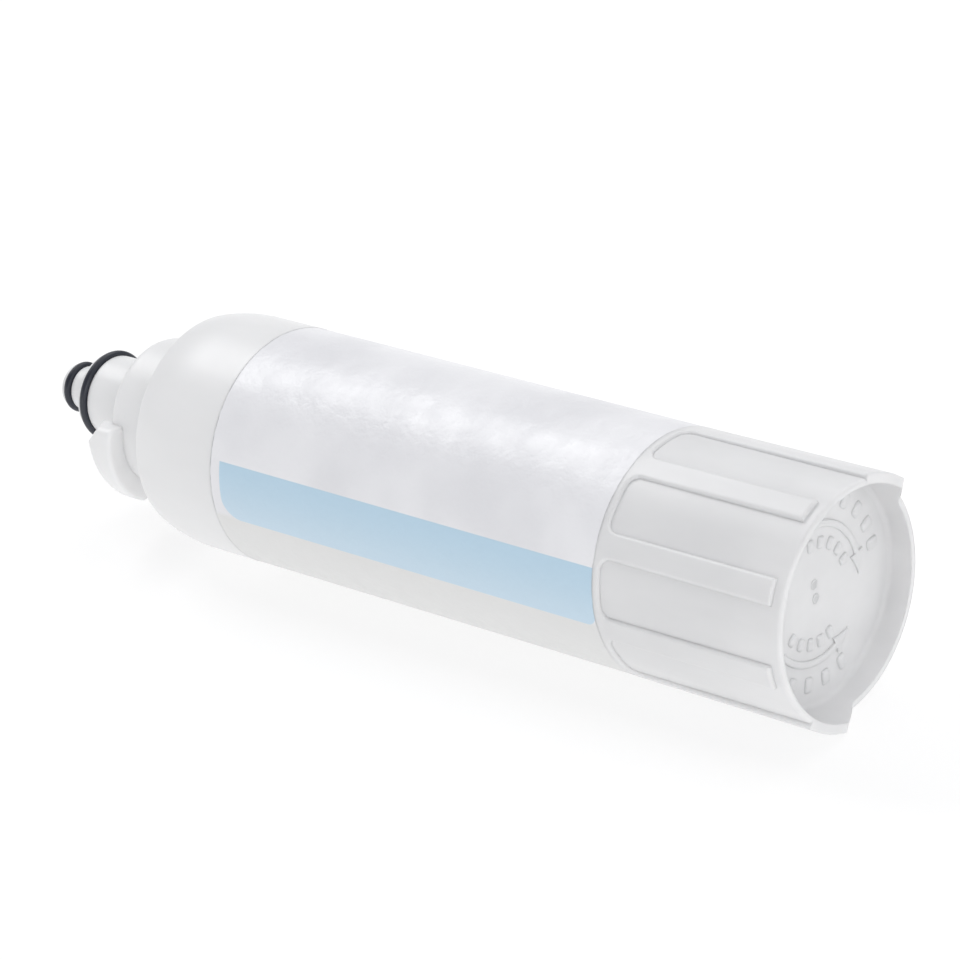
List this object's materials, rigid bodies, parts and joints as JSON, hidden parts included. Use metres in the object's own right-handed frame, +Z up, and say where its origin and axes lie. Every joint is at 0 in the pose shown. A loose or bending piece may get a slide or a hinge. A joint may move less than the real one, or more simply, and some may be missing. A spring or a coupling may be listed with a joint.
{
  "type": "fridge water filter cartridge",
  "caption": "Long cylindrical twist-in water filter cartridge with a stepped nozzle sealed by rubber rings, bayonet lugs, a wrap-around film label and a panelled grip with an open end cup.",
  "frame": {"origin": "on the cartridge's axis, at the front face of the collar that carries the bayonet lugs", "axes": "+X along the axis from the nozzle to the grip, +Z up, +Y to the far side of the picture; lying on its side as in the picture, between a rib and an ear of its grip"},
  "size_m": [0.2289, 0.0543, 0.054],
  "materials": {
    "housing_plastic": "white, slightly translucent moulded polypropylene, satin",
    "seal_rubber": "blue-black elastomer, lightly greased",
    "label_film": "white plastic film with one pale blue field, glossy",
    "pressed_carbon": "pressed activated carbon with plastic binder, matt black",
    "fleece": "non-woven polypropylene fleece",
    "cap_plastic": "natural white moulded polypropylene"
  },
  "bodies": {
    "root": {"sump_shell": "housing_plastic", "head_cap": "housing_plastic", "nozzle_o_ring": "seal_rubber", "tip_o_ring": "seal_rubber", "spigot_o_ring": "seal_rubber", "wrap_label": "label_film", "carbon_block": "pressed_carbon", "prefilter_fleece": "fleece", "upper_end_cap": "cap_plastic", "lower_end_cap": "cap_plastic"}
  },
  "joints": []
}
